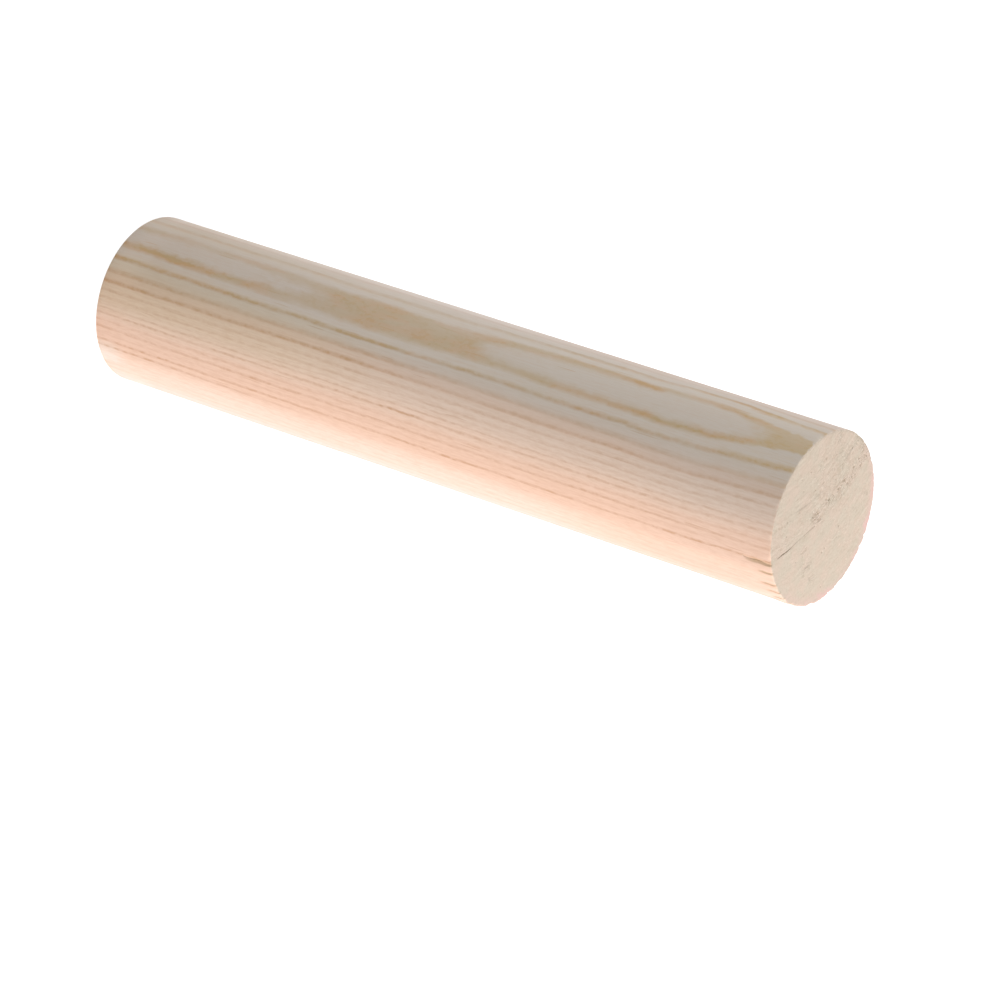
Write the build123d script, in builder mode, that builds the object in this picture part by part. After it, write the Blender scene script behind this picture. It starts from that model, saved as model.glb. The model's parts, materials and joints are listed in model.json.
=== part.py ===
from build123d import *
import math
import os

# A short round rod of flat-sawn softwood, cut square at both ends. It stands on its
# bottom end: +Z runs along the rod, and the origin is the centre of the bottom end.
# Angles round the rod are in degrees from -Y towards +X. Lengths are in millimetres.

# ---- The rod
rod_diameter = 40.0
rod_length = 192.0
arris = 0.25            # the sawn edges are barely eased

# ---- The tree it came from
# Growth rings are circles round the pith, which lies outside this rod. Whatever
# splits in the wood splits along a ring.
pith_distance = 55.0    # from the rod's axis
pith_angle = -39.6      # the side of the rod that faces the pith

# ---- Drying check in the top end: a long narrow split, close along one growth ring
check_angle = 41.1      # direction of its outer tip from the axis
check_rim_gap = 1.85    # sound wood between its outer tip and the rim
check_inner_tip = (1.9, -2.1)
check_widest = 0.75     # how far along it is widest, from the inner tip
check_bow = 0.3         # how far it bows away from the pith there
check_width = 0.3
check_depth = 2.5
check_floor_share = 0.4  # width of its floor, as a share of its width at the mouth

# ---- Tear-outs at the top rim: slits along the grain, where the saw broke out of the
# wood. Each is widest and deepest at the rim: (angle, length, width, depth).
tear_outs = [
    (42.0, 7.0, 0.60, 0.60),
    (49.3, 3.4, 0.40, 0.40),
    (59.8, 3.9, 0.45, 0.45),
    (67.7, 3.1, 0.40, 0.30),
    (76.0, 3.3, 0.45, 0.35),
]
tear_tip = 0.1          # share of the rim's width and depth at a slit's lower tip
tear_mouth = 0.5        # how far a slit's section stands out past the surface

rod_radius = rod_diameter / 2


def point_at(radius, angle):
    """The point at a radius and angle round the rod's axis."""
    turn = math.radians(angle)
    return Vector(radius * math.sin(turn), -radius * math.cos(turn))


pith = point_at(pith_distance, pith_angle)


with BuildPart() as dowel_rod:
    # The turned rod, with its two sawn edges eased
    with BuildSketch():
        Circle(rod_radius)
    extrude(amount=rod_length)
    chamfer(dowel_rod.edges().filter_by(GeomType.CIRCLE), arris)

    # The drying check: a kite with a long inner tail at its mouth, a narrower one below
    check_outer = point_at(rod_radius - check_rim_gap, check_angle)
    check_inner = Vector(*check_inner_tip)
    check_middle = check_inner + (check_outer - check_inner) * check_widest
    check_across = (check_middle - pith).normalized()
    check_middle += check_across * check_bow
    for share, height in (
        (check_floor_share, rod_length - check_depth),
        (1, rod_length),
    ):
        half_width = check_across * (check_width / 2 * share)
        with BuildSketch(Plane.XY.offset(height)):
            with BuildLine():
                Polyline(
                    check_outer,
                    check_middle + half_width,
                    check_inner,
                    check_middle - half_width,
                    close=True,
                )
            make_face()
    loft(ruled=True, mode=Mode.SUBTRACT)

    # The tear-outs: a V that points into the wood along the growth ring, and shrinks
    # down the rod to its tip
    for angle, length, width, depth in tear_outs:
        rim = point_at(rod_radius, angle)
        ring_normal = (rim - pith).normalized()
        into_wood = ring_normal.rotate(Axis.Z, 90)
        lean = 1 + tear_mouth / depth
        for share, height in ((tear_tip, rod_length - length), (1, rod_length)):
            section = Plane(
                origin=rim + Vector(0, 0, height), x_dir=into_wood, z_dir=(0, 0, 1)
            )
            mouth_x = -tear_mouth * share
            mouth_y = width / 2 * lean * share
            with BuildSketch(section):
                with BuildLine():
                    Polyline(
                        (depth * share, 0),
                        (mouth_x, mouth_y),
                        (mouth_x, -mouth_y),
                        close=True,
                    )
                make_face()
        loft(ruled=True, mode=Mode.SUBTRACT)

dowel_rod.part.label = "dowel_rod"

os.makedirs("parts", exist_ok=True)
export_step(dowel_rod.part, "parts/dowel_rod.step")
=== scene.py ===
# %% [markdown]
# # A short wooden dowel rod
# The rod is one length of turned softwood, sawn square at both ends. Three things make
# it look like wood and not like a plain cylinder: the growth rings, which show as
# flames and lines on the round side and as faint arcs on the ends, the drying check in
# the top end, and the splinters that the saw tore out of the rim.

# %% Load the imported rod
import json
import math
import random

import bmesh
import bpy
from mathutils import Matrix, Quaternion, Vector, noise


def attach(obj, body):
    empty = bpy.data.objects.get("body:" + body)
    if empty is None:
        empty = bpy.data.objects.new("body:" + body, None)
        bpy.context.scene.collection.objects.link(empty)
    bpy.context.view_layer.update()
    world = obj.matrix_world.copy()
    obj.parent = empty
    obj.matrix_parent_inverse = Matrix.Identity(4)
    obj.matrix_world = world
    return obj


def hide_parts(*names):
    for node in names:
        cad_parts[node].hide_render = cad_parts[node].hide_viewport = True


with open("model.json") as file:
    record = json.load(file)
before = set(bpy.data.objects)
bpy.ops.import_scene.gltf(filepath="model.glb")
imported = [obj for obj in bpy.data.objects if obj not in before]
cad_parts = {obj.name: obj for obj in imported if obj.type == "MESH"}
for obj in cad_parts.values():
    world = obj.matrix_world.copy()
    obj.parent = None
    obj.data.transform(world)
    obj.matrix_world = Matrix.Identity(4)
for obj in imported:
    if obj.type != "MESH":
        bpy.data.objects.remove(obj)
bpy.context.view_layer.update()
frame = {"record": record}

mounts = {mount["name"]: mount for mount in frame["record"]["mounts"]}
MM = 0.001
RADIUS = mounts["shank"]["dims"]["r_mm"]
LENGTH = mounts["top_end"]["pos_m"][2] / MM
print(f"rod: {2 * RADIUS:.1f} mm thick, {LENGTH:.1f} mm long")

# %% [markdown]
# ## The tree
# A growth ring is a shell round the tree's pith, so one rule gives the grain on every
# side of the rod. The pith lies outside this rod, beyond its -X, -Y side. There the
# shells only graze the surface and draw flames, and further round they are cut more
# and more squarely and draw straight lines. The splits and the torn splinters follow
# the same rings, so the pith's place is written once. Shapes and grain are worked out
# in millimetres, and the finished mesh is made metres at the end.

# %% Place the pith
PITH_DISTANCE = 55.0
PITH_ANGLE = -39.6


def point_at(radius, angle, height=0.0):
    """A point round the rod's axis; the angle is in degrees from -Y towards +X."""
    turn = math.radians(angle)
    return Vector((radius * math.sin(turn), -radius * math.cos(turn), height))


def angle_of(point):
    """The angle of a point round the rod's axis, in degrees from -Y towards +X."""
    return math.degrees(math.atan2(point.x, -point.y))


PITH = point_at(PITH_DISTANCE, PITH_ANGLE)
print("pith at", [round(c, 1) for c in PITH])

# %% [markdown]
# ## The turned blank
# A dowel leaves the cutter as a true round bar, and the saw leaves its ends square
# with barely eased edges. A lathe profile spun once round the axis gives all of it in
# one closed skin. The ends are stepped finely, because they carry the pits of torn
# fibres, and so are the last rows of the side, where the splinters are.

# %% Spin the blank
ARRIS = 0.25
SEGMENTS = 360
TOP_STEPS = 50
BOTTOM_STEPS = 34
BODY_ROWS = 20
FINE_ROWS = 26
FINE_LENGTH = 9.0


def steps(start, stop, count):
    """Evenly spaced values from start up to, but without, stop."""
    return [start + (stop - start) * i / count for i in range(count)]


def blank_profile():
    """Half of the rod's section, from the middle of one end to that of the other."""
    flat = RADIUS - ARRIS
    ease = ARRIS * 0.3
    fine_start = LENGTH - FINE_LENGTH
    profile = [(r, 0.0) for r in steps(0.0, flat, BOTTOM_STEPS)]
    profile += [(flat, 0.0), (RADIUS - ease, ease)]
    profile += [(RADIUS, z) for z in steps(ARRIS, fine_start, BODY_ROWS)]
    profile += [(RADIUS, z) for z in steps(fine_start, LENGTH - ARRIS, FINE_ROWS)]
    profile += [(RADIUS, LENGTH - ARRIS), (RADIUS - ease, LENGTH - ease)]
    profile += [(r, LENGTH) for r in steps(flat, 0.0, TOP_STEPS)]
    return profile + [(0.0, LENGTH)]


wood = bmesh.new()
corners = [wood.verts.new((r, 0.0, z)) for r, z in blank_profile()]
edges = [wood.edges.new(pair) for pair in zip(corners, corners[1:])]
bmesh.ops.spin(
    wood,
    geom=corners + edges,
    cent=(0, 0, 0),
    axis=(0, 0, 1),
    angle=math.tau,
    steps=SEGMENTS,
    use_merge=True,
)
bmesh.ops.remove_doubles(wood, verts=wood.verts, dist=0.001)
bmesh.ops.recalc_face_normals(wood, faces=wood.faces)
torn_and_shade = wood.verts.layers.float.new("torn_and_shade")
shaded = wood.verts.layers.float.new("shaded")
print("blank:", len(wood.faces), "faces")

# %% [markdown]
# ## The drying check and its finer neighbours
# As the end dries faster than the middle, the wood parts along its growth rings. The
# one real check is a third of a millimetre wide near the rim and runs out in a hair
# line, and a few more hair lines lie beside it. The mesh along each split is divided
# until it has a few corners across, and those corners are then pushed down. Real
# corners pushed down give a real dark gap from every side, which paint would not.
# Beside each split shade is also painted: how near each corner is to one goes into an
# attribute, "shaded", and the finish darkens the colour by it. Another attribute does
# the same for the pits and the splinters, where it holds the brown of broken fibres
# together with painted shade.

# %% Describe the splits in the top end
CHECK_OUTER = point_at(RADIUS - 1.85, 41.1)
# (inner tip, outer tip, where it is widest, bow, width, depth, times divided)
SPLITS = [
    ((1.9, -2.1), CHECK_OUTER.to_2d(), 0.75, 0.30, 0.30, 2.50, 3),
    ((-6.3, -2.8), (1.4, -12.8), 0.60, 0.35, 0.18, 0.05, 2),
    ((9.7, 1.6), (11.9, -1.1), 0.50, 0.10, 0.12, 0.03, 2),
    ((-18.7, 3.2), (-13.2, 0.8), 0.35, 0.10, 0.16, 0.04, 2),
    ((-0.4, -0.2), (1.2, -1.7), 0.50, 0.00, 0.24, 0.12, 2),
]
SPLIT_BAND = 0.45  # how far across a split the mesh is divided


def on_top(point):
    """True for the points of the top end, before any of them is moved."""
    return point.z > LENGTH - ARRIS / 2


def split_place(point, split):
    """How far along a split a point is, from 0 to 1, and its distance across it."""
    inner, outer, widest, bow = Vector(split[0]), Vector(split[1]), split[2], split[3]
    run = outer - inner
    arm = point.to_2d() - inner
    along = arm.dot(run) / run.length_squared
    across = run.cross(arm) / run.length
    bend = bow * min(along / widest, (1 - along) / (1 - widest))
    return along, across - bend


def by_a_split(point, split):
    """True for the points of the top end beside a split."""
    along, across = split_place(point, split)
    return on_top(point) and -0.03 < along < 1.03 and abs(across) < SPLIT_BAND


def refine(near, times):
    """Halves the faces whose middles pass a test, so many times over."""
    for _ in range(times):
        chosen = [face for face in wood.faces if near(face.calc_center_median())]
        around = list(dict.fromkeys(edge for face in chosen for edge in face.edges))
        bmesh.ops.subdivide_edges(wood, edges=around, cuts=1, use_grid_fill=True)


for split in SPLITS:
    refine(lambda point: by_a_split(point, split), split[-1])
print("with the splits divided:", len(wood.faces), "faces")

# %% Open the splits
# Widths are shares of a split's width; INNER_REACH, OPENS_AT and SHADE_INNER are shares
# of the way from its inner tip to its widest place
TAIL = 0.22
INNER_GAPE = 0.26
INNER_REACH = 0.45
OPENS_AT = 0.75
SPLIT_WANDER = 0.08
SHADE_REACH = 0.30
SHADE_MIDDLE = 0.25
SHADE_INNER = 0.35


def split_drop(point, split):
    """How deep a split is below a point of the end: a hair line that opens to a gap."""
    along, across = split_place(point, split)
    if not 0 < along < 1:
        return 0.0
    _, _, widest, _, width, depth, _ = split
    wander = SPLIT_WANDER * noise.noise(Vector((along * 9, split[0][0], 3)))
    rise = min(1.0, along / widest)
    inner = max(0.0, 1 - rise / INNER_REACH)
    opening = max(0.0, (rise - OPENS_AT) / (1 - OPENS_AT))
    gape = TAIL + INNER_GAPE * inner + (1 - TAIL) * opening
    closing = min(1.0, along * 12, (1 - along) * 6)
    half = width / 2 * gape * closing
    inside = 1 - abs(across - wander) / max(half, MM)
    return depth * gape**2 * inside**1.8 if inside > 0 else 0.0


def split_shade(point, split):
    """How much shade is painted in and beside a split: most at its two ends, 0 far from
    it.
    """
    along, across = split_place(point, split)
    if not 0 < along < 1:
        return 0.0
    width = split[4]
    beside = 1 - abs(across) / (SHADE_REACH + width / 2)
    rise = min(1.0, along / split[2])
    strength = SHADE_MIDDLE + (1 - SHADE_MIDDLE) * max(rise**4, 1 - rise / SHADE_INNER)
    return max(0.0, beside) * strength * min(1.0, along * 8, (1 - along) * 8)


for vert in wood.verts:
    if on_top(vert.co):
        vert[shaded] = max(split_shade(vert.co, split) for split in SPLITS)
        vert.co.z -= max(split_drop(vert.co, split) for split in SPLITS)
print("corners by the splits:", sum(vert[shaded] > 0 for vert in wood.verts))

# %% [markdown]
# ## Pits where fibres pulled out
# A saw that cuts across the grain plucks small bundles of fibres out of the softer
# wood, and leaves pits about half a millimetre wide. On the top end they sit in rows
# along two growth rings, so the larger ones are placed there one by one. The bottom
# end gets a seeded scatter along rings of its own. They are real hollows as well.

# %% Describe the pits
# (x, y, size in mm)
TOP_PITS = [
    (-13.8, 8.1, 0.34), (-12.8, 5.5, 0.42), (-9.3, 3.6, 0.46), (-7.2, 2.3, 0.46),
    (-9.0, 5.2, 0.34), (-4.2, -0.2, 0.36), (-4.1, -1.3, 0.34), (-0.5, -2.9, 0.34),
    (0.6, -4.4, 0.34), (-0.3, -3.9, 0.26), (0.3, 7.5, 0.30), (7.1, 4.2, 0.30),
    (6.0, 4.9, 0.22), (13.3, 2.6, 0.26), (14.2, 8.6, 0.24), (-12.4, -7.0, 0.34),
    (-10.6, -8.2, 0.28), (-8.4, -11.2, 0.26), (-5.0, -7.0, 0.28), (-6.2, -13.9, 0.28),
    (-4.0, -11.7, 0.24), (0.7, -10.7, 0.24), (6.5, -12.5, 0.30), (3.5, -14.0, 0.30),
    (-12.6, 0.5, 0.30), (-16.2, 9.3, 0.34), (-14.9, 6.4, 0.26), (-4.6, 11.0, 0.22),
    (8.5, -1.2, 0.22), (-2.0, -5.2, 0.24), (1.6, -6.4, 0.22), (10.9, -5.2, 0.22),
    (-16.4, 9.2, 0.26), (-15.6, 8.6, 0.22), (-11.4, 7.0, 0.24), (-10.6, 6.2, 0.28),
    (-8.2, 3.0, 0.26), (-7.8, 4.4, 0.20), (-5.2, 0.9, 0.24), (-3.2, -0.8, 0.28),
    (-1.6, -1.9, 0.24), (0.9, -3.2, 0.26), (-1.2, -3.4, 0.22), (-17.9, 3.4, 0.26),
    (-16.6, 2.2, 0.22), (-14.2, 1.9, 0.24), (-12.0, 0.9, 0.22), (-6.4, -3.6, 0.22),
]
PIT_STRETCH = 1.5  # how much longer than wide a pit is
BOTTOM_PIT_COUNT = 26
BOTTOM_ROWS = (46.5, 52.0, 57.5)  # ring radii
chance = random.Random(7)


def scattered_pits(count):
    """Pits on the bottom end, in rows along a few growth rings."""
    pits = []
    while len(pits) < count:
        ring = chance.choice(BOTTOM_ROWS) + chance.gauss(0, 0.9)
        turn = math.radians(50.4 + chance.uniform(-20, 20))
        x, y = PITH.x + ring * math.cos(turn), PITH.y + ring * math.sin(turn)
        if math.hypot(x, y) < RADIUS - 1.5:
            pits.append((x, y, chance.uniform(0.22, 0.42)))
    return pits


BOTTOM_PITS = scattered_pits(BOTTOM_PIT_COUNT)


def pit_reach(point, pit):
    """How near a point is to a pit: 1 in its middle, 0 at its rim, less outside."""
    x, y, size = pit
    off_x, off_y = point.x - x, point.y - y
    if abs(off_x) > 1.5 or abs(off_y) > 1.5:
        return -9.0
    arm = Vector((x - PITH.x, y - PITH.y)).normalized()
    across = off_x * arm.x + off_y * arm.y
    along = off_y * arm.x - off_x * arm.y
    rough = 1 + 0.35 * noise.noise(Vector((point.x * 3, point.y * 3, size)))
    return 1 - math.hypot(across, along / PIT_STRETCH) / (0.8 * size) * rough


def by_a_pit(point):
    """True for the points of either end in or beside a pit."""
    if MM < point.z < LENGTH - MM:
        return False
    pits = BOTTOM_PITS if point.z < 1 else TOP_PITS
    return any(pit_reach(point, pit) > -0.35 for pit in pits)


refine(by_a_pit, 2)
print("with the pits divided:", len(wood.faces), "faces")

# %% Sink the pits
for vert in wood.verts:
    at_bottom = vert.co.z < MM
    if at_bottom or vert.co.z > LENGTH - MM:
        pits = BOTTOM_PITS if at_bottom else TOP_PITS
        reach, size = max((pit_reach(vert.co, pit), pit[2]) for pit in pits)
        if reach > 0:
            drop = size * 0.5 * (1 - (1 - reach) ** 2)
            vert.co.z += drop if at_bottom else -drop
            # the deeper the pit, the darker it is painted: the brown of torn fibres
            # together with painted shade in the hollow
            vert[torn_and_shade] = max(vert[torn_and_shade], min(0.6, drop * 2.2))
print("pits:", len(TOP_PITS), "on the top end,", len(BOTTOM_PITS), "on the bottom end")

# %% [markdown]
# ## Splinters torn out of the rim
# Where the saw leaves the wood it pulls fibres off, and each leaves a short slit that
# runs down the grain from the rim. The wood beside the largest one slopes down to it
# and catches the light, one sliver a quarter way round still hangs on, and the far
# half of the rim is left ragged. The slits are cut only part of their depth, and the
# rest of their darkness is painted: the brown of torn fibres together with painted
# shade. The shadow along the sliver's free edge is painted too, beside its torn side.

# %% Divide the wood at the splinters
# (angle, length down the side, width and depth at the rim)
TEAR_OUTS = [
    (42.0, 7.4, 0.85, 0.70),
    (49.3, 4.2, 0.50, 0.50),
    (59.8, 4.7, 0.55, 0.55),
    (67.7, 3.8, 0.50, 0.45),
    (76.0, 3.6, 0.50, 0.45),
]
TEAR_BAND = 0.8  # how far across a slit the mesh is divided
TEAR_WANDER = 0.25


def tear_place(point, tear):
    """How far up a slit a point is, from 0 to 1, and its distance across it."""
    angle, length, _, _ = tear
    run = (point.z - LENGTH + length) / length
    wander = TEAR_WANDER * noise.noise(Vector((angle, 0, point.z / 2.5)))
    across = RADIUS * math.radians(angle_of(point) - angle) - wander
    return run, across


def by_a_tear(point):
    """True on the side within reach of a slit, and on the end just inside the rim."""
    if point.to_2d().length < RADIUS - 1.0 or point.z < LENGTH - FINE_LENGTH:
        return False
    places = [tear_place(point, tear) for tear in TEAR_OUTS]
    return any(run > -0.1 and abs(across) < TEAR_BAND for run, across in places)


refine(by_a_tear, 2)
print("with the splinters divided:", len(wood.faces), "faces")

# %% Size the splinters
DISH_DEPTH = 0.26  # of the slope beside the largest slit
DISH_WIDTH = 1.1
TEAR_SWELL = 1.5  # how many times its width a slit has where it is widest
TEAR_SHARE = 0.3  # share of its depth by which its corners move in; brown stain and painted shade do the rest
STAIN_AND_SHADE_REACH = 1.0  # how far a slit's brown stain and painted shade spread, in widths of the slit
STAIN_AND_SHADE_SHIFT = 0.1  # how far round from the slit the middle of its stain and painted shade lies
SLIVER_ANGLES = (77.0, 84.0)
SLIVER_LENGTH = 7.0
SLIVER_HEIGHT = 0.3
RAGGED_ANGLES = (92.0, 205.0)
RAGGED_DEPTH = 0.7
RAGGED_LENGTH = 1.6
NICK_DEPTH = 0.3
NICK_LENGTH = 0.9
RIM_BAND = 0.9  # how far in from the rim the end is pulled along


def near_top(point, length):
    """1 at the rod's top, 0 a length below it, less than 0 further down."""
    return 1 - (LENGTH - point.z) / length


def tear_depth(point):
    """How far the torn slits go in from the round surface at a point."""
    deepest = 0.0
    for tear in TEAR_OUTS:
        _, _, width, depth = tear
        run, across = tear_place(point, tear)
        if run > 0:
            swell = TEAR_SWELL * math.sin(math.pi * (0.1 + 0.72 * min(run, 1.0)))
            inside = 1 - (across / (width / 2 * swell)) ** 2
            deepest = max(deepest, TEAR_SHARE * depth * run**0.6 * inside)
    return deepest


def tear_stain_and_shade(point):
    """How dark the wood is painted in and beside the slits, from 0 to 1: the brown of torn
    fibres and painted shade.
    """
    darkest = 0.0
    for tear in TEAR_OUTS:
        run, across = tear_place(point, tear)
        if run > 0:
            off = abs(across - STAIN_AND_SHADE_SHIFT) / (STAIN_AND_SHADE_REACH * tear[2])
            darkest = max(darkest, min(1.0, run * 2.6) * min(1.0, 1.4 - 1.4 * off))
    return darkest


def dish_depth(point):
    """How far the wood beside the largest slit slopes down to it."""
    run, across = tear_place(point, TEAR_OUTS[0])
    beside = -across / DISH_WIDTH
    if run <= 0 or not 0 < beside < 1:
        return 0.0
    swell = math.sin(math.pi * (0.15 + 0.6 * min(run, 1.0)))
    return DISH_DEPTH * swell * (1 - beside) ** 2


def sliver_height(point):
    """A sliver that stands off the side more and more towards the end."""
    low, high = SLIVER_ANGLES
    across = (angle_of(point) - low) / (high - low)
    run = near_top(point, SLIVER_LENGTH)
    if run <= 0 or not 0 < across < 1:
        return 0.0
    return SLIVER_HEIGHT * min(1.0, run * 1.3) * across * min(1.0, (1 - across) * 6)


def sliver_edge_and_shadow(point):
    """1 just outside the sliver's free edge, where its torn side and a painted shadow
    show, 0 elsewhere.
    """
    off = abs(angle_of(point) - SLIVER_ANGLES[1] - 1.5) / 2.2
    run = near_top(point, SLIVER_LENGTH)
    return max(0.0, 1 - off) * min(1.0, max(0.0, run * 2))


def ragged_depth(point):
    """How far the rim is broken back, in chips of a millimetre or so."""
    start, stop = RAGGED_ANGLES
    share = (angle_of(point) % 360 - start) / (stop - start)
    run = near_top(point, RAGGED_LENGTH)
    if run <= 0 or not 0 < share < 1:
        return 0.0
    coarse = noise.noise(Vector((share * 15, point.z / 2, 5)))
    fine = noise.noise(Vector((share * 55, point.z / 2, 9)))
    chip = min(1.0, max(0.0, 0.15 + 1.4 * coarse + 1.3 * fine))
    return RAGGED_DEPTH * chip * run * min(1.0, share * 3 + 0.1, (1 - share) * 4)


def nick_depth(point):
    """Small nicks in the rest of the rim, less than a third of a millimetre deep."""
    run = near_top(point, NICK_LENGTH)
    if run <= 0:
        return 0.0
    spot = point.to_2d().normalized().to_3d()
    nick = noise.noise(spot * 9) + 0.7 * noise.noise(spot * 24)
    return NICK_DEPTH * min(1.0, max(0.0, nick + 0.1)) * run


# %% Pull the splinters out
def move_out(vert, distance):
    """Moves a corner straight away from the rod's axis."""
    outward = vert.co.to_2d().normalized() * distance
    vert.co.x += outward.x
    vert.co.y += outward.y


for vert in wood.verts:
    reach = (vert.co.to_2d().length - RADIUS + RIM_BAND) / RIM_BAND
    if vert.co.z > LENGTH - FINE_LENGTH and reach > 0:
        # the brown of torn fibres with painted shade in the slits, and a painted shadow by
        # the sliver's free edge
        stain_and_shade = 0.8 * max(tear_stain_and_shade(vert.co), sliver_edge_and_shadow(vert.co))
        depth = max(tear_depth(vert.co), dish_depth(vert.co), nick_depth(vert.co))
        depth += ragged_depth(vert.co)
        move_out(vert, (sliver_height(vert.co) - depth) * reach)
        vert[torn_and_shade] = max(vert[torn_and_shade], stain_and_shade * reach**2)
print("corners in the splinters:", sum(vert[torn_and_shade] > 0 for vert in wood.verts))

# %% Finish the mesh
for vert in wood.verts:
    vert.co *= MM
mesh = bpy.data.meshes.new("sawn_dowel")
wood.to_mesh(mesh)
wood.free()
mesh.shade_smooth()
mesh.set_sharp_from_angle(angle=math.radians(35))
rod = bpy.data.objects.new("sawn_dowel", mesh)
bpy.context.collection.objects.link(rod)
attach(rod, "root")
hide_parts("dowel_rod")
print("triangles:", sum(len(face.vertices) - 2 for face in mesh.polygons))

# %% [markdown]
# ## Helpers for materials
# A finish is a chain of small nodes: numbers and noises in, a colour out. Adding a node,
# setting it and feeding it takes several lines each time, so these helpers write them
# once. Each returns the new node's output, so that one call can be fed to the next and
# the chain reads like a sum. Most of what follows is made of spans: a span comes in or
# fades out smoothly as some measure, such as the height, goes from one value to another.

# %% Helpers for numbers
def add(tree, kind, inputs, output=0, **settings):
    """Adds a node, sets it, feeds its inputs with numbers or sockets, gives an output."""
    node = tree.nodes.new("ShaderNode" + kind)
    for name, value in settings.items():
        setattr(node, name, value)
    for key, value in inputs.items():
        if isinstance(value, bpy.types.NodeSocket):
            tree.links.new(value, node.inputs[key])
        else:
            node.inputs[key].default_value = value
    return node.outputs[output]


def calc(tree, operation, first, second=0.0, third=0.0):
    """One sum on up to three numbers."""
    inputs = {0: first, 1: second, 2: third}
    return add(tree, "Math", inputs, operation=operation)


def span(tree, value, low, high, to_low=0.0, to_high=1.0, smooth=True):
    """Maps a value from one range to another, held at the ends."""
    inputs = {0: value, 1: low, 2: high, 3: to_low, 4: to_high}
    kind = "SMOOTHSTEP" if smooth else "LINEAR"
    return add(tree, "MapRange", inputs, interpolation_type=kind)


def product(tree, first, *others):
    """Any count of numbers multiplied together."""
    for other in others:
        first = calc(tree, "MULTIPLY", first, other)
    return first


def band(tree, value, start, full, fade, stop):
    """1 while a value is between full and fade, 0 before start and past stop."""
    ins, outs = span(tree, value, start, full), span(tree, value, fade, stop, 1, 0)
    return product(tree, ins, outs)


def blend(tree, share, first, second):
    """Two numbers mixed by a share from 0 to 1."""
    return add(tree, "Mix", {0: share, 2: first, 3: second})


def curve(tree, value, points, result=(0.0, 1.0), handle="AUTO_CLAMPED"):
    """A line through points (value, result), with all its results in a given range."""
    node = tree.nodes.new("ShaderNodeFloatCurve")
    line = node.mapping.curves[0]
    low, high = points[0][0], points[-1][0]
    to_low, to_high = result
    wide, tall = high - low, to_high - to_low
    scaled = [((x - low) / wide, (y - to_low) / tall) for x, y in points]
    line.points[0].location = scaled[0]
    line.points[1].location = scaled[-1]
    for place in scaled[1:-1]:
        line.points.new(*place)
    for point in line.points:
        point.handle_type = handle
    node.mapping.update()
    tree.links.new(span(tree, value, low, high, smooth=False), node.inputs[1])
    return span(tree, node.outputs[0], 0, 1, to_low, to_high, smooth=False)


# %% Helpers for places and colours
def axes(tree, place):
    """The x, y and z of a place."""
    return tuple(add(tree, "SeparateXYZ", {0: place}).node.outputs)


def joined(tree, x, y):
    """A place at height 0 from its x and y."""
    return add(tree, "CombineXYZ", {0: x, 1: y, 2: 0.0})


def stretched(tree, place, scale):
    """The place with each axis scaled by its own number."""
    inputs = {0: place, 1: scale}
    return add(tree, "VectorMath", inputs, operation="MULTIPLY")


def measure(tree, operation, first, second=(0, 0, 0)):
    """One number from one or two places, such as the distance between them."""
    inputs = {0: first, 1: second}
    return add(tree, "VectorMath", inputs, "Value", operation=operation)


def cloud(tree, place, scale, detail=2.0, rough=0.5):
    """Soft noise, mostly from 0.2 to 0.8; a scale of three numbers is one per axis."""
    if isinstance(scale, tuple):
        place, scale = stretched(tree, place, scale), 1.0
    inputs = {"Vector": place, "Scale": scale, "Detail": detail, "Roughness": rough}
    return add(tree, "TexNoise", inputs)


def mix(tree, share, first, second, blend_type="MIX"):
    """Two colours mixed by a share from 0 to 1."""
    inputs = {0: share, 6: first, 7: second}
    settings = {"data_type": "RGBA", "blend_type": blend_type}
    return add(tree, "Mix", inputs, 2, **settings)


def tinted(tree, share, colour, tint):
    """A colour multiplied by a tint, as far as the share says."""
    return mix(tree, share, colour, tint, "MULTIPLY")


def lightened(tree, colour, factor):
    """A colour made lighter or darker by a number round 1."""
    grey = add(tree, "CombineColor", {0: factor, 1: factor, 2: factor})
    return tinted(tree, 1.0, colour, grey)


# %% [markdown]
# ## The growth rings
# Each year the tree adds pale, open earlywood and then a thin band of dense, darker
# latewood that ends sharply. Here every year has the radius of that dark edge and how
# strong its latewood is, as read off the side of the rod. Trees are not true cylinders,
# so the shells lean in and out along the rod: one curve over the height shifts them
# near the flames and another on the flank, a third lets them bulge on the flames' far
# side, and a fourth lets the flames drift sideways. More curves say how strong the
# lines are at each height. One node group turns any place in the wood into its
# latewood, so that the side and the ends agree where they meet.

# %% List the years
# (radius in mm of the year's dark edge, strength of its latewood)
YEARS = [
    (35.45, 1.00), (37.10, 0.75), (39.40, 0.42), (41.35, 0.56), (43.15, 0.38),
    (44.85, 0.30), (45.95, 0.14), (47.05, 0.42), (48.30, 0.50), (50.15, 0.36),
    (51.85, 0.52), (53.40, 0.16), (55.05, 0.64), (56.70, 0.75), (58.50, 0.10),
    (60.10, 0.14), (62.00, 0.14), (63.60, 0.20), (65.30, 0.16), (67.20, 0.25),
    (68.80, 0.25), (70.70, 0.50), (72.40, 0.35), (74.10, 0.60), (76.00, 0.45),
]
FIRST_RING = 33.7  # radius of the dark edge before the first of them
CARRY = 0.3  # share of a year that lies past its dark edge
FADING_YEAR = 13  # its line fades out up the rod
FADING = (15, 72, 1, 0.05)
STREAKED_YEAR = 8  # its line is darker for a stretch
STREAK = (82, 86, 94, 97)
STREAK_STRENGTH = 0.5
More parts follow.
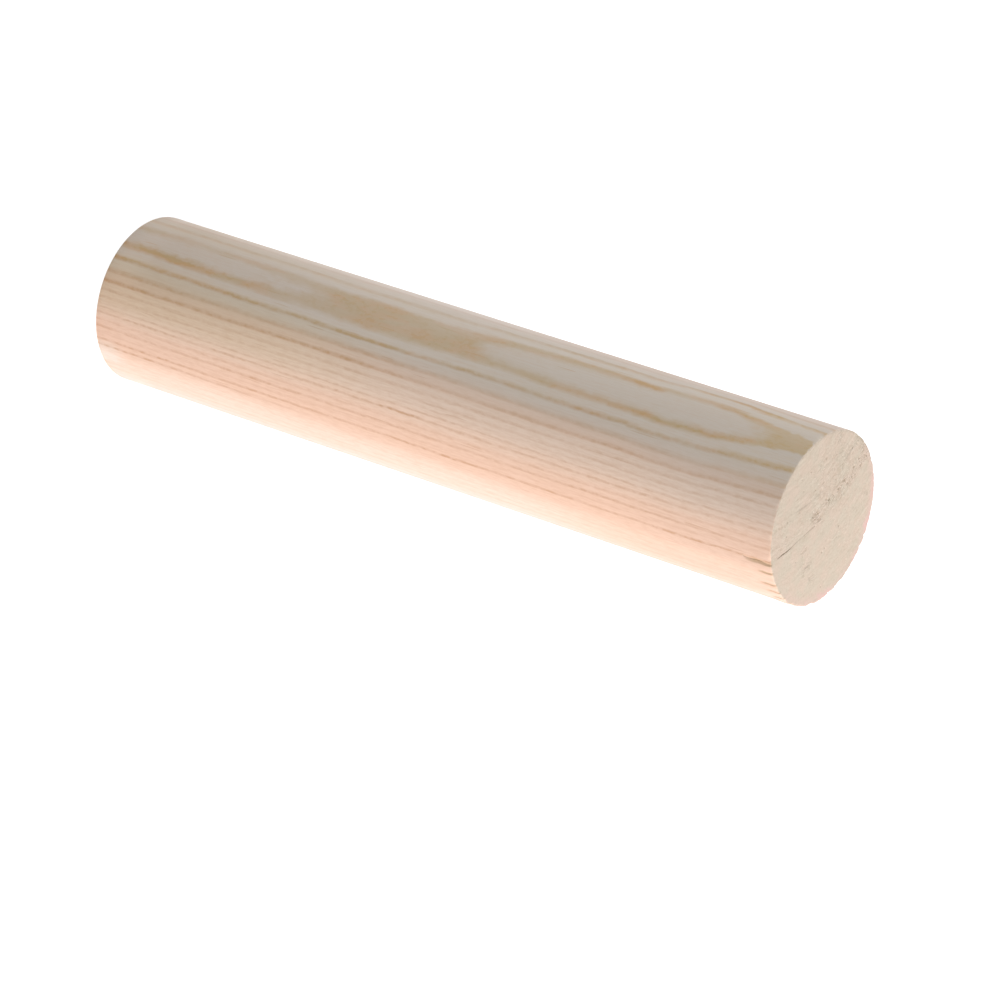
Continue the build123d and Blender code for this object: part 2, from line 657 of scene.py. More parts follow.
# (height in mm, how many mm the shells lean in), near the flames and then on the flank
LEAN = [
    (0, 0.03), (20, -0.03), (46, -0.08), (57, 0.0), (80, -0.08), (96, -0.03), (130, -0.29),
    (140, -0.31), (147, -0.25), (153, -0.40), (158, -0.46), (166, -0.46), (174, -0.16),
    (182, 0.04), (192, 0.31),
]
FLANK_LEAN = [
    (0, 0.1), (10, 0.0), (30, -0.25), (45, -0.4), (90, -0.5), (110, -0.75),
    (166, -0.85), (183, -0.4), (192, -0.3),
]
# (height in mm, how many mm the shells bulge out on the far side of the flames)
LEFT_BULGE = [(0, 0), (142, 0), (158, 0.3), (168, 0.42), (177, 0.3), (188, 0), (192, 0)]
# (height in mm, how many mm the flames drift sideways)
DRIFT = [
    (0, 0.3), (10, 0.2), (20, 0.4), (42, 1.1), (57, 1.8), (79, 2.6), (96, 2.0),
    (106, 0.8), (130, 0.2), (140, 0.15), (147, 0.5), (153, -0.05), (158, -0.2),
    (166, -1.0), (181, -0.95), (192, -0.6),
]
# (height in mm, how much of the first year between its edges is latewood)
BROAD = [
    (0, -0.15), (28, -0.15), (38, 0), (46, 0.08), (56, 0.18), (62, 0.3), (68, 0.6),
    (76, 1), (96, 1), (100, 0.65), (104, 0.2), (108, 0.05), (114, 0), (175, 0),
    (180, 0.06), (183, 0.25), (186, 0.6), (190, 1), (192, 1),
]
# (height in mm, strength of the flames' edges towards +X and away from it)
RIGHT_EDGE = [
    (0, 0.9), (12, 1.25), (22, 1.05), (36, 0.9), (50, 0.55), (70, 0.62), (80, 0.75),
    (104, 0.6), (120, 0.6), (140, 0.85), (160, 0.8), (178, 0.65), (192, 0.9),
]
LEFT_EDGE = [
    (0, 0.5), (18, 0.4), (36, 0.45), (55, 0.65), (100, 0.6), (120, 0.6), (140, 0.65),
    (147, 1.15), (154, 0.6), (165, 0.65), (180, 0.7), (192, 0.9),
]
# (height in mm, strength of the lines beside the flames)
LINES = [
    (0, 1.45), (22, 1.35), (44, 1.17), (56, 1.3), (66, 1.4), (74, 1.28), (82, 1.1),
    (92, 1.0), (110, 0.95), (192, 0.95),
]
# (height in mm, how much of that strength the lines on the far side of the flames have)
LEFT_LINE = [
    (0, 0.5), (40, 0.5), (56, 0.54), (66, 0.57), (74, 0.62), (82, 0.7), (92, 0.8),
    (110, 0.8), (135, 1), (152, 1), (164, 1.6), (176, 1.6), (184, 1), (192, 1),
]


# %% Shift the shells
# The direction across the flames, towards +X
ACROSS = (math.cos(math.radians(PITH_ANGLE)), math.sin(math.radians(PITH_ANGLE)), 0)
# (how a noise is squeezed along each axis, its detail and roughness, its size in mm)
WAVES = [((0.35, 0.35, 0.07), 2.0, 0.6, 0.4), ((0.5, 0.5, 0.4), 1.0, 0.5, 0.24)]
JITTER_SCALE = (1.2, 1.2, 0.65)
FLAME_JITTER = 0.13
LINE_JITTER = 0.30


def drifted(tree, place, plain):
    """The x, y and z of a place, with the drift of the flames taken off."""
    x, y, z = axes(tree, place)
    near_flames = span(tree, plain, 36.2, 38.6, 1, 0)
    drift = product(tree, curve(tree, z, DRIFT, (-3, 3)), near_flames)
    x = calc(tree, "MULTIPLY_ADD", drift, -ACROSS[0], x)
    y = calc(tree, "MULTIPLY_ADD", drift, -ACROSS[1], y)
    return x, y, z


def waved(tree, radius, place, plain):
    """A radius with the waves of the shells and the jitter of their edges added."""
    for scale, detail, rough, size in WAVES:
        wave = cloud(tree, place, scale, detail, rough)
        wave = calc(tree, "MULTIPLY_ADD", wave, size, -size / 2)
        radius = calc(tree, "ADD", radius, wave)
    jitter = cloud(tree, place, JITTER_SCALE, 2.0, 0.6)
    size = span(tree, plain, 37, 45, FLAME_JITTER, LINE_JITTER)
    jitter = product(tree, calc(tree, "SUBTRACT", jitter, 0.5), size)
    return calc(tree, "ADD", radius, jitter)


def lean_at(tree, plain, side, z):
    """How far in the shells lean: one curve near the flames, another on the flank."""
    left = span(tree, side, -7.5, -5.8, 1, 0)
    bulge = product(tree, curve(tree, z, LEFT_BULGE), left)
    near_lean = calc(tree, "SUBTRACT", curve(tree, z, LEAN, (-1, 1)), bulge)
    far = span(tree, plain, 46, 51)
    near_lean = product(tree, near_lean, calc(tree, "SUBTRACT", 1, far))
    far_lean = product(tree, curve(tree, z, FLANK_LEAN, (-1, 1)), far)
    return calc(tree, "ADD", near_lean, far_lean)


def leaning_radius(tree, place):
    """The radius of a place's shell, its distance across the flames, and x, y and z."""
    plain = measure(tree, "DISTANCE", stretched(tree, place, (1, 1, 0)), PITH)
    x, y, z = drifted(tree, place, plain)
    side = product(tree, y, ACROSS[1])
    side = calc(tree, "MULTIPLY_ADD", x, ACROSS[0], side)
    radius = measure(tree, "DISTANCE", joined(tree, x, y), PITH)
    radius = waved(tree, radius, place, plain)
    radius = calc(tree, "ADD", radius, lean_at(tree, plain, side, z))
    return radius, side, x, y, z


# %% Draw the latewood
# Where in its year, from 0 to 1, the latewood begins, is full, starts to end, is gone
BAND_BEGINS = 0.25
BAND_FULL = 0.65
BAND_ENDS = 0.67
BAND_GONE = 0.88
FLAME_LATER = 0.13  # how much later the flames' own band begins
BROAD_BEGINS = 0.55  # how much sooner the broad stretches of it begin
BROAD_FULL = 0.36  # and how much sooner they are full
BLOTCH_SCALE = (0.2, 0.2, 0.045)
BEAD_SCALE = (0.9, 0.9, 0.5)


def ramp_of(tree, place, values):
    """Steps through a list of values: place 0..1 is the whole list."""
    node = tree.nodes.new("ShaderNodeValToRGB")
    node.color_ramp.interpolation = "CONSTANT"
    stops = node.color_ramp.elements
    stops.remove(stops[-1])
    for i, value in enumerate(values):
        stop = stops[0] if i == 0 else stops.new(i / len(values))
        stop.position = i / len(values)
        stop.color = (value, value, value, 1)
    tree.links.new(place, node.inputs[0])
    return node.outputs[0]


def year_and_depth(tree, radius):
    """The year that a radius lies in, from 0 on, and how far through that year it is."""
    marks = [(FIRST_RING, 0)] + [(edge, i + 1) for i, (edge, _) in enumerate(YEARS)]
    age = curve(tree, radius, marks, (0, len(YEARS)), "VECTOR")
    age = calc(tree, "SUBTRACT", age, CARRY)
    return calc(tree, "FLOOR", age), calc(tree, "FRACT", age)


def latewood_band(tree, depth, flame, z):
    """Where in a year its latewood lies: it comes in slowly and ends sharply."""
    broad = product(tree, curve(tree, z, BROAD, (-0.2, 1)), flame)
    begins = calc(tree, "MULTIPLY_ADD", flame, FLAME_LATER, BAND_BEGINS)
    begins = calc(tree, "MULTIPLY_ADD", broad, -BROAD_BEGINS, begins)
    full = calc(tree, "MULTIPLY_ADD", broad, -BROAD_FULL, BAND_FULL)
    softer = product(tree, flame, span(tree, z, 172, 184, 0.12, -0.12))
    gone = calc(tree, "ADD", softer, BAND_GONE)
    comes, goes = span(tree, depth, begins, full), span(tree, depth, BAND_ENDS, gone, 1, 0)
    return product(tree, comes, goes)


def line_strength(tree, year, flame, side, z):
    """How strong a year's latewood is at a height and a distance across the flames."""
    listed = calc(tree, "DIVIDE", calc(tree, "ADD", year, 0.5), len(YEARS))
    strength = ramp_of(tree, listed, [strength for _, strength in YEARS])
    left_edge = curve(tree, z, LEFT_EDGE, (0, 1.3))
    right_edge = curve(tree, z, RIGHT_EDGE, (0, 1.3))
    edges = blend(tree, span(tree, side, -1.5, 1.5), left_edge, right_edge)
    lines = span(tree, year, 3.4, 3.6, curve(tree, z, LINES, (0, 1.5)), 1.0)
    left_line = curve(tree, z, LEFT_LINE, (0, 2))
    beside = blend(tree, span(tree, side, -6, -3.5), left_line, 1.0)
    lines = product(tree, lines, span(tree, side, -11.2, -9.8, 0.35, 1), beside)
    strength = product(tree, strength, blend(tree, flame, lines, edges))
    streaked = calc(tree, "COMPARE", year, STREAKED_YEAR, 0.5)
    streak = product(tree, streaked, band(tree, z, *STREAK))
    strength = calc(tree, "MULTIPLY_ADD", streak, STREAK_STRENGTH, strength)
    fading = calc(tree, "COMPARE", year, FADING_YEAR, 0.5)
    return product(tree, strength, blend(tree, fading, 1.0, span(tree, z, *FADING)))


def unevenness(tree, place, radius, flame):
    """Long blotches, and short beads that break the lines but not the flames."""
    blotches = cloud(tree, place, BLOTCH_SCALE, 2.0)
    blotches = span(tree, blotches, 0.3, 0.7, 0.65, 1.15)
    weakest = span(tree, radius, 38, 46, 0.75, 0.5)
    strongest = span(tree, radius, 38, 46, 1.25, 1.5)
    beads = cloud(tree, place, BEAD_SCALE, 2.0, 0.6)
    beads = span(tree, beads, 0.33, 0.67, weakest, strongest)
    return blotches, calc(tree, "MAXIMUM", beads, flame)


# %% Build the rings
def growth_rings():
    """A node group: from a place in millimetres to its latewood and its ring."""
    tree = bpy.data.node_groups.new("growth_rings", "ShaderNodeTree")
    tree.interface.new_socket("place", in_out="INPUT", socket_type="NodeSocketVector")
    for name in ("late", "radius", "along"):
        tree.interface.new_socket(name, in_out="OUTPUT", socket_type="NodeSocketFloat")
    place = tree.nodes.new("NodeGroupInput").outputs[0]
    radius, side, x, y, z = leaning_radius(tree, place)
    year, depth = year_and_depth(tree, radius)
    flame = calc(tree, "LESS_THAN", year, 0.5)
    late = latewood_band(tree, depth, flame, z)
    blotches, beads = unevenness(tree, place, radius, flame)
    strength = line_strength(tree, year, flame, side, z)
    late = product(tree, late, blotches, beads, strength)
    off_x, off_y = calc(tree, "SUBTRACT", x, PITH.x), calc(tree, "SUBTRACT", y, PITH.y)
    along = product(tree, calc(tree, "ARCTAN2", off_y, off_x), PITH_DISTANCE)
    ends = tree.nodes.new("NodeGroupOutput")
    for i, socket in enumerate((late, radius, along)):
        tree.links.new(socket, ends.inputs[i])
    return tree


RINGS = growth_rings()
print("growth rings:", len(YEARS), "years in", len(RINGS.nodes), "nodes")


def start_material(name):
    """A new material with its shader, its place in millimetres and its rings."""
    material = bpy.data.materials.new(name)
    material.use_nodes = True
    tree = material.node_tree
    spot = add(tree, "TexCoord", {}, "Object")
    inputs = {0: spot, "Scale": 1 / MM}
    place = add(tree, "VectorMath", inputs, operation="SCALE")
    rings = tree.nodes.new("ShaderNodeGroup")
    rings.node_tree = RINGS
    tree.links.new(place, rings.inputs[0])
    return material, tree, tree.nodes["Principled BSDF"], place, rings.outputs


def attribute(tree, name):
    """A number that the mesh carries at each corner."""
    return add(tree, "Attribute", {}, "Fac", attribute_name=name)


def roughen(tree, shader, height, distance):
    """Lets a height, in mm once multiplied by the distance, tip the surface's normal."""
    inputs = {"Height": height, "Distance": distance * MM, "Strength": 1.0}
    tree.links.new(add(tree, "Bump", inputs), shader.inputs["Normal"])


# %% [markdown]
# ## The turned side
# Fresh softwood is greyish cream near the heart side of this rod and turns a warm
# peach towards the bark side. That side faces the warm key lamp, and part of its peach
# and pink is the lamp's warm light painted in. The latewood is the same wood, only
# denser and yellower, so its colour is the earlywood's times a tint. Fine fibres run
# along the rod: a noise drawn out sixty times along Z gives them, a shorter one gives
# ticks, and a sparse one the thin dark dashes of resin canals. No board is one colour
# all over, so a list of local tones makes the wood a little browner, greyer, pinker or
# paler in one part or another. Some of them are painted light: a lighter foot, a paler
# lit flank and a pale gleam along the far edge. A lightness for each ring is set as
# well, and it too is partly painted light. Each local tone has a tint and the spans
# over which it comes in or fades out.

# %% Colours of the side
EARLY_INNER = (0.76, 0.665, 0.565, 1)
# its peach is partly the key lamp's warm light, painted in
EARLY_OUTER_AND_KEY_TINT = (0.87, 0.635, 0.495, 1)
LATE_TINT_OLIVE = (0.83, 0.68, 0.42, 1)
LATE_TINT_RUSTY = (0.88, 0.65, 0.38, 1)
LATE_TINT_OUTER = (0.74, 0.60, 0.46, 1)
LATE_TINT_TOP = (1.05, 1.02, 0.88, 1)
# the brown of torn fibres together with painted shade, for the slits and the sliver's edge
TORN_AND_SHADED_SIDE = (0.55, 0.38, 0.22, 1)
# (ring radius in mm, share of the outer tint in the latewood there)
TINTING = [(33.7, 0), (36.0, 0), (37.1, 0.4), (39, 0.6), (41.3, 0.7), (43, 1), (76, 1)]
# (ring radius in mm, share of the outer colour in the wood there; the outer colour's peach
# is partly painted warm light from the key lamp)
WARMTH_AND_KEY_LIGHT = [
    (33.7, 0), (36.8, 0.05), (39, 0.3), (41.3, 0.55), (42, 0.42), (44.7, 0.42),
    (48, 0.65), (53, 1), (76, 1),
]
# (ring radius in mm, share of the pinker tone halfway up the rod, partly painted warm
# light on the side turning to the key lamp)
PINK_AND_WARM_LIGHT = [
    (33.7, 0), (37.8, 0), (39.5, 0.75), (41, 1), (47, 1), (50, 0.7), (53, 0.95),
    (56, 0.95), (58, 0.15), (60, 0), (76, 0),
]
# (ring radius in mm, how much lighter or darker the wood is painted there: partly its own
# tone, partly painted light, mostly lighter towards the lit +X flank)
TONE_AND_LIGHT = [
    (33.7, 0.96), (35.3, 0.97), (36.2, 1.0), (40.9, 0.99), (41.7, 1.06), (44, 1.1),
    (49, 1.08), (52, 1.0), (56, 0.96), (57.4, 1.0), (59, 1.08), (64, 1.08), (76, 1.1),
]
# (how much rustier the latewood is, heights in mm at which it starts, is full, fades
# and stops being so)
RUSTIER = [(0.10, (118, 135, 172, 180)), (0.07, (60, 75, 100, 112))]
# Each local tone and each patch of painted light has a tint and its spans: (measure, from,
# to, share there, share there)
TONES_AND_PAINTED_LIGHT = [
    # browner towards the far end, near the flames
    ((0.93, 0.90, 0.84, 1), ("height", 0, 100, 1, 0), ("radius", 42, 51, 1, 0)),
    # yellower there, on the +X side of the flames
    ((1.0, 1.0, 0.95, 1), ("radius", 36, 38.5, 0, 1), ("radius", 44, 50, 1, 0),
     ("along", 46, 52, 1, 0), ("height", 50, 95, 1, 0)),
    # greyer there, between the flames
    ((0.99, 1.0, 1.05, 1), ("radius", 35.3, 37, 1, 0), ("height", 55, 85, 1, 0)),
    # pinker halfway up, partly painted warm light from the key lamp
    ((1.09, 1.055, 1.03, 1), ("pink_and_warm_light",), ("along", 43, 47, 1, 0),
     ("height", 10, 70, 0.5, 1), ("height", 145, 180, 1, 0.2)),
    # painted light in the last millimetres at the foot, against the floor's shade there,
    # most of all by the flames
    ((1.15, 1.16, 1.19, 1), ("along", 28.5, 36, 0.3, 1), ("height", 0, 14, 1, 0)),
    # a pale patch of painted light at the foot of the lit flank
    ((1.0, 1.13, 1.22, 1), ("radius", 54, 57, 0, 1), ("radius", 60, 62, 1, 0),
     ("x", -2, 2, 0, 1), ("height", 3, 9, 1, 0)),
    # a painted pale gleam on the lower half, along the edge on the flames' far side
    ((1.10, 1.18, 1.26, 1), ("side", -12.5, -9, 1, 0), ("height", 90, 135, 1, 0)),
    # painted light on the outer rings of the lit flank
    ((0.98, 1.07, 1.13, 1), ("radius", 63, 68, 0, 1)),
    # painted light on the lit flank, all but its top
    ((0.99, 1.09, 1.16, 1), ("radius", 55, 62, 0, 1), ("height", 120, 158, 1, 0)),
    # and deeper at its top
    ((0.985, 0.95, 0.96, 1), ("radius", 57, 62, 0, 1), ("radius", 63, 66, 1, 0),
     ("height", 135, 170, 0, 1)),
]
FIBRE_SCALE = (3.0, 3.0, 0.05)
TICK_SCALE = (2.4, 2.4, 0.4)
CANAL_SCALE = (2.6, 2.6, 0.09)
RUST_SCALE = (0.25, 0.25, 0.1)


# %% Parts of the side grain
def latewood_tint(tree, place, height, radius):
    """The tint of the latewood: olive or rusty by the flames, greyer further out."""
    rust = cloud(tree, place, RUST_SCALE, 2.0, 0.6)
    rust = calc(tree, "ADD", rust, span(tree, height, 5, 45, 0.14, 0.0))
    for more, heights in RUSTIER:
        rust = calc(tree, "MULTIPLY_ADD", band(tree, height, *heights), more, rust)
    tint = mix(tree, span(tree, rust, 0.48, 0.66), LATE_TINT_OLIVE, LATE_TINT_RUSTY)
    tint = mix(tree, curve(tree, radius, TINTING), tint, LATE_TINT_OUTER)
    top, inner = span(tree, height, 166, 184), span(tree, radius, 39, 42, 1, 0)
    return tinted(tree, product(tree, top, inner), tint, LATE_TINT_TOP)


def fine_marks(tree, place, radius, fibres, colour, dark):
    """The side's colour with its fibres, ticks and resin canals drawn in a dark one."""
    colour = mix(tree, span(tree, fibres, 0.35, 0.75, 0.0, 0.14), colour, dark)
    ticks = cloud(tree, place, TICK_SCALE, 2.0, 0.6)
    strength = span(tree, radius, 38, 46, 0.10, 0.22)
    ticks = product(tree, span(tree, ticks, 0.38, 0.68), strength)
    colour = mix(tree, ticks, colour, dark)
    canals = cloud(tree, place, CANAL_SCALE, 0.0)
    return mix(tree, span(tree, canals, 0.78, 0.84, 0.0, 0.5), colour, dark)


def tones_and_painted_light(tree, place, rings, colour):
    """The side's colour with the local tones and the painted light laid over it, one after
    another.
    """
    x, _, height = axes(tree, place)
    measures = {
        "x": x,
        "height": height,
        "side": measure(tree, "DOT_PRODUCT", place, ACROSS),
        "radius": rings["radius"],
        "along": rings["along"],
        "pink_and_warm_light": curve(tree, rings["radius"], PINK_AND_WARM_LIGHT),
    }
    for tint, *spans in TONES_AND_PAINTED_LIGHT:
        shares = [
            span(tree, measures[name], *limits) if limits else measures[name]
            for name, *limits in spans
        ]
        colour = tinted(tree, product(tree, *shares), colour, tint)
    return colour


# %% Side grain
def side_grain():
    """The material of the round side."""
    material, tree, shader, place, rings = start_material("turned_side_grain")
    late, radius = rings["late"], rings["radius"]
    height = axes(tree, place)[2]
    # greyish at the crest, warm peach towards the lit flank: partly painted warm light
    early = mix(tree, curve(tree, radius, WARMTH_AND_KEY_LIGHT), EARLY_INNER, EARLY_OUTER_AND_KEY_TINT)
    dark = tinted(tree, 1.0, early, latewood_tint(tree, place, height, radius))
    fibres = cloud(tree, place, FIBRE_SCALE, 3.0, 0.6)
    colour = mix(tree, late, early, dark)
    colour = fine_marks(tree, place, radius, fibres, colour, dark)
    colour = tones_and_painted_light(tree, place, rings, colour)
    # lighter or darker by ring: partly the wood's tone, partly painted light on the lit
    # flank
    colour = lightened(tree, colour, curve(tree, radius, TONE_AND_LIGHT, (0.8, 1.2)))
    # torn fibres and painted shade in the slits and by the sliver's edge
    colour = mix(tree, attribute(tree, "torn_and_shade"), colour, TORN_AND_SHADED_SIDE)
    tree.links.new(colour, shader.inputs["Base Color"])
    shader.inputs["Roughness"].default_value = 0.5
    shader.inputs["Sheen Weight"].default_value = 0.4
    shader.inputs["Sheen Roughness"].default_value = 0.3
    roughen(tree, shader, calc(tree, "MULTIPLY_ADD", late, 0.6, fibres), 0.015)
    return material


# %% [markdown]
# ## The sawn ends
# End grain is a field of cut tubes, so it is matt, even in colour and finely pitted.
# The rings hardly show in it. What does show are short torn streaks that run with the
# rings, so one noise is laid out along and across the rings, and a finer one stands for
# the open pores. The saw tore some rings more than others, and a few places most of
# all. The whole end is faintly mottled, greener here and pinker there, and its far rim
# has a soft pink edge of painted glow, as of light through the loose fibres.

# %% Colours of the ends
EARLY_END = (0.76, 0.635, 0.515, 1)
LATE_END = (0.57, 0.45, 0.33, 1)
FLECK_END = (0.95, 0.82, 0.69, 1)
RIM_GLOW_PINK = (0.90, 0.62, 0.55, 1)
# the brown of torn fibres together with painted shade, in the pits and at the torn rim
TORN_AND_SHADED_END = (0.42, 0.33, 0.23, 1)
# the colour of the painted shade beside the splits
SHADED_END = (0.44, 0.36, 0.28, 1)
COOLER = (0.98, 1.0, 0.99, 1)
WARMER = (1.02, 0.995, 0.99, 1)
# (ring radius in mm, how badly the saw tore the wood there)
TORN_ROWS = [
    (35, 0.3), (42, 0.35), (46, 0.5), (48.5, 0.75), (50, 0.6), (52.4, 0.9), (54.6, 0.8),
    (56.6, 0.3), (61, 0.3), (62.6, 0.45), (64.5, 0.3), (76, 0.3),
]
# (x, y, reach in mm, how badly the saw tore the wood there)
TORN_PATCHES = [
    (0.2, -3.4, 3.0, 1.35), (11.2, -0.6, 3.6, 0.65), (8.3, -3.3, 2.2, 0.6),
    (-17.6, -4.4, 2.2, 0.8), (-9.3, 4.0, 3.0, 0.7), (13.0, 3.6, 2.6, 0.5),
]
# How each noise is squeezed across the rings and along them
HATCH_SCALE = (1.3, 0.16, 1)
STREAK_SCALE = (1.7, 0.3, 1)
DOT_SCALE = (2.2, 1.1, 1)
FLECK_SCALE = (2.6, 1.2, 1)
FAR_SIDE = (0.35, 0.94)  # the direction of the rim with the pink edge
RIM_STARTS = 18.9  # the pink edge comes in from here, measured from the axis
RIM_FULL = 20.9


# %% Marks of the saw
def torn_patches(tree, place):
    """How badly the saw tore the top end, from the patches listed above."""
    worst = 0.0
    for x, y, reach, strength in TORN_PATCHES:
        off = measure(tree, "DISTANCE", place, (x, y, LENGTH))
        near = span(tree, off, 0.3 * reach, reach, strength, 0.0)
        worst = calc(tree, "MAXIMUM", worst, near)
    return worst


def how_torn(tree, place, radius, along):
    """How badly the saw tore the wood, from its ring, a noise and the patches."""
    rows = curve(tree, radius, TORN_ROWS)
    uneven = span(tree, cloud(tree, place, 0.2, 1.0), 0.35, 0.6, 0.6, 1.0)
    towards_x = span(tree, along, 40, 56, 0.45, 1.0)
    by_rows = product(tree, rows, uneven, towards_x)
    return calc(tree, "MAXIMUM", by_rows, torn_patches(tree, place))


def hatched(tree, place, laid_out, radius, colour):
    """The end's colour with faint dark and light lines that run with the rings."""
    faded = span(tree, radius, 48, 60, 1.0, 0.55)
    uneven = span(tree, cloud(tree, place, 0.45, 1.0), 0.40, 0.60, 0.3, 1.2)
    strength = product(tree, faded, uneven)
    hatch = cloud(tree, laid_out, HATCH_SCALE, 2.0, 0.6)
    dark = product(tree, span(tree, hatch, 0.50, 0.68, 0.0, 0.32), strength)
    light = product(tree, span(tree, hatch, 0.32, 0.48, 0.30, 0.0), strength)
    return mix(tree, light, mix(tree, dark, colour, LATE_END), FLECK_END)


def torn_marks(tree, laid_out, torn_here):
    """Shares of dark streaks, dark dots and bright flecks where the saw tore the wood."""
    streaks = cloud(tree, laid_out, STREAK_SCALE, 3.0, 0.65)
    dots = cloud(tree, laid_out, DOT_SCALE, 2.0, 0.6)
    flecks = cloud(tree, laid_out, FLECK_SCALE, 1.0)
    shares = (
        span(tree, streaks, 0.48, 0.66, 0, 0.8),
        span(tree, dots, 0.52, 0.68, 0, 0.8),
        span(tree, flecks, 0.55, 0.68, 0, 0.9),
    )
    return [product(tree, share, torn_here) for share in shares]


def pink_rim_glow(tree, place):
    """How much painted pink glow the end has: in patches along its far rim."""
    x, y, _ = axes(tree, place)
    far = product(tree, y, FAR_SIDE[1])
    far = calc(tree, "MULTIPLY_ADD", x, FAR_SIDE[0], far)
    out = measure(tree, "LENGTH", stretched(tree, place, (1, 1, 0)))
    out = calc(tree, "MULTIPLY_ADD", cloud(tree, place, 0.35, 2.0, 0.6), 3.2, out)
    rim = span(tree, out, RIM_STARTS, RIM_FULL)
    patchy = span(tree, cloud(tree, place, 0.22, 2.0), 0.42, 0.58, 0.35, 1.0)
    return product(tree, rim, span(tree, far, -2, 10), patchy)


# %% End grain
def end_grain():
    """The material of both sawn ends."""
    material, tree, shader, place, rings = start_material("sawn_end_grain")
    radius, along = rings["radius"], rings["along"]
    laid_out = joined(tree, radius, along)
    torn_here = how_torn(tree, place, radius, along)
    streaks, dots, flecks = torn_marks(tree, laid_out, torn_here)
    pores = cloud(tree, place, 1.5, 2.0, 0.6)

    colour = mix(tree, product(tree, rings["late"], 0.14), EARLY_END, LATE_END)
    colour = hatched(tree, place, laid_out, radius, colour)
    colour = mix(tree, span(tree, pores, 0.45, 0.72, 0.0, 0.2), colour, LATE_END)
    colour = mix(tree, streaks, colour, LATE_END)
    colour = mix(tree, dots, colour, LATE_END)
    colour = mix(tree, flecks, colour, FLECK_END)
    mottled = span(tree, cloud(tree, place, 0.28, 2.0), 0.36, 0.62)
    colour = tinted(tree, 1.0, colour, mix(tree, mottled, COOLER, WARMER))
    colour = lightened(tree, colour, span(tree, radius, 42, 72, 0.97, 1.035))
    # painted pink glow along the far rim
    colour = mix(tree, pink_rim_glow(tree, place), colour, RIM_GLOW_PINK)
    # painted shade in and beside the splits, read from the shaded attribute
    shade = product(tree, attribute(tree, "shaded"), 0.5)
    colour = mix(tree, shade, colour, SHADED_END)
    # torn fibres and painted shade in the pits and at the torn rim
    colour = mix(tree, attribute(tree, "torn_and_shade"), colour, TORN_AND_SHADED_END)
    tree.links.new(colour, shader.inputs["Base Color"])
    shader.inputs["Roughness"].default_value = 0.85
    relief = calc(tree, "SUBTRACT", flecks, calc(tree, "ADD", streaks, dots))
    roughen(tree, shader, calc(tree, "MULTIPLY_ADD", pores, -0.8, relief), 0.10)
    return material


# %% Give the faces their materials
mesh.materials.append(side_grain())
mesh.materials.append(end_grain())
for face in mesh.polygons:
    inside = face.center.xy.length < (RADIUS - 1.0) * MM
    face.material_index = int(inside or abs(face.normal.z) > 0.5)
print("end faces:", sum(face.material_index for face in mesh.polygons))

# %% [markdown]
# ## The floor
# The rod stands on a plain white sheet. A white sheet in even light still renders a
# little grey, so the part that the camera sees gets some light of its own added, and
# the rod's soft shadow stays faintly visible on it.

# %% Floor
FLOOR_GLOW = 0.62
FLOOR_SIZE = 3.0
FLOOR_WHITE = (0.8, 0.8, 0.8, 1)

floor_sheet = bmesh.new()
bmesh.ops.create_grid(floor_sheet, x_segments=1, y_segments=1, size=FLOOR_SIZE)
floor_mesh = bpy.data.meshes.new("studio_floor")
floor_sheet.to_mesh(floor_mesh)
floor_sheet.free()
floor = bpy.data.objects.new("studio_floor", floor_mesh)
bpy.context.collection.objects.link(floor)

white = bpy.data.materials.new("white_floor")
white.use_nodes = True
tree = white.node_tree
shader = tree.nodes["Principled BSDF"]
shader.inputs["Base Color"].default_value = FLOOR_WHITE
shader.inputs["Roughness"].default_value = 1.0
shader.inputs["Specular IOR Level"].default_value = 0.0
glow = add(tree, "Emission", {"Strength": FLOOR_GLOW})
both = add(tree, "AddShader", {0: shader.outputs[0], 1: glow})
seen = add(tree, "LightPath", {}, "Is Camera Ray")
final = add(tree, "MixShader", {0: seen, 1: shader.outputs[0], 2: both})
tree.links.new(final, tree.nodes["Material Output"].inputs[0])
floor_mesh.materials.append(white)

# %% [markdown]
# ## The air round the rod
# The room is a soft grey for lighting, but pure white where the camera or a reflection
# looks at it. That keeps the backdrop white and lets the rod's long edges pick up a
# white gleam, without washing out its colours.

# %% World
ROOM_GREY = (0.42, 0.44, 0.46, 1)
BACKDROP_WHITE = (1, 1, 1, 1)

world = bpy.data.worlds.new("studio_air")
bpy.context.scene.world = world
world.use_nodes = True
tree = world.node_tree
path = tree.nodes.new("ShaderNodeLightPath")
shown = calc(tree, "MAXIMUM", path.outputs["Is Camera Ray"], path.outputs["Is Glossy Ray"])
air = mix(tree, shown, ROOM_GREY, BACKDROP_WHITE)
tree.links.new(air, tree.nodes["Background"].inputs[0])

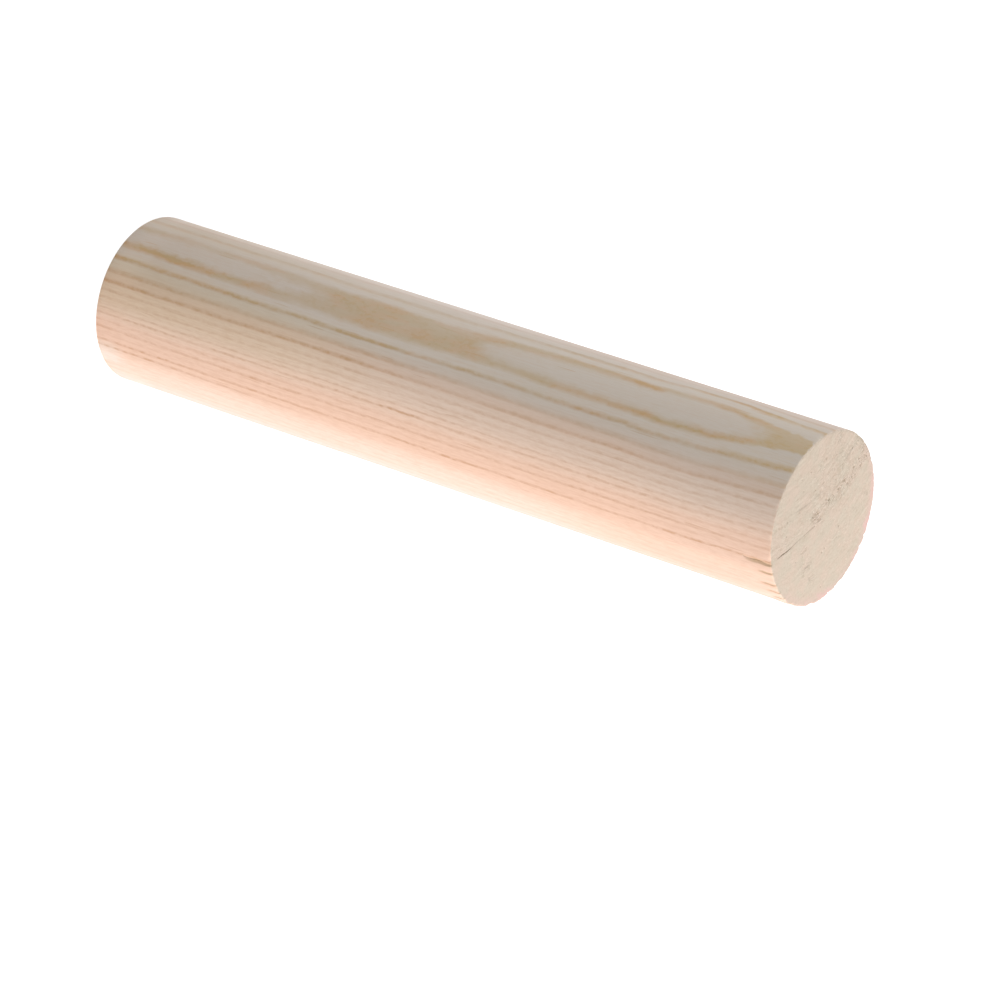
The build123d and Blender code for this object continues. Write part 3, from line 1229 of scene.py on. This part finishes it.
# %% [markdown]
# ## The lamps
# A large warm lamp on the +X side lights one flank of the rod until it is nearly white,
# and the crest turns away from it into the grey of the room. A weaker one on the other
# side opens the shadow there, and one above keeps the sawn end bright and even.

# %% Lamps
def lamp(name, place, size, energy, colour):
    """A square lamp that looks at the middle of the rod."""
    centre = Vector((0, 0, LENGTH / 2 * MM))
    data = bpy.data.lights.new(name, "AREA")
    data.size = size
    data.energy = energy
    data.color = colour
    item = bpy.data.objects.new(name, data)
    bpy.context.collection.objects.link(item)
    item.location = place
    item.rotation_mode = "QUATERNION"
    item.rotation_quaternion = (centre - item.location).to_track_quat("-Z", "Y")
    return item


lamp("key", (1.2, 0.1, 0.35), size=0.9, energy=14.5, colour=(1.0, 0.86, 0.82))
lamp("fill", (-1.1, 0.5, 0.3), size=0.9, energy=4, colour=(1.0, 0.98, 1.0))
lamp("top", (0.0, -0.1, 1.4), size=0.8, energy=6, colour=(1.0, 0.99, 0.97))

# %% [markdown]
# ## The camera
# The rod is seen from the side and a little above, with the camera rolled over, so that
# it lies across the picture and shows its top end. A long lens from over a metre away
# keeps its two sides nearly parallel.

# %% Camera
CAMERA_ELEVATION = 32.938
CAMERA_ROLL = 108.713
CAMERA_AIM = Vector((0.018808, 0.007061, 0.106898))
CAMERA_DISTANCE = 1.16731
LENS_MM = 185.054

camera = bpy.data.objects.new("camera", bpy.data.cameras.new("camera"))
bpy.context.collection.objects.link(camera)
bpy.context.scene.camera = camera
tilt = math.radians(CAMERA_ELEVATION)
look = Vector((0, math.cos(tilt), -math.sin(tilt)))
roll = Quaternion((0, 0, 1), math.radians(CAMERA_ROLL))
camera.rotation_mode = "QUATERNION"
camera.rotation_quaternion = look.to_track_quat("-Z", "Y") @ roll
camera.location = CAMERA_AIM - look * CAMERA_DISTANCE
camera.data.sensor_width = 36
camera.data.lens = LENS_MM
camera.data.clip_end = 10

# %% [markdown]
# ## Picture settings
# Standard colours show each tint as it is written.

# %% Finish
bpy.context.scene.view_settings.view_transform = "Standard"
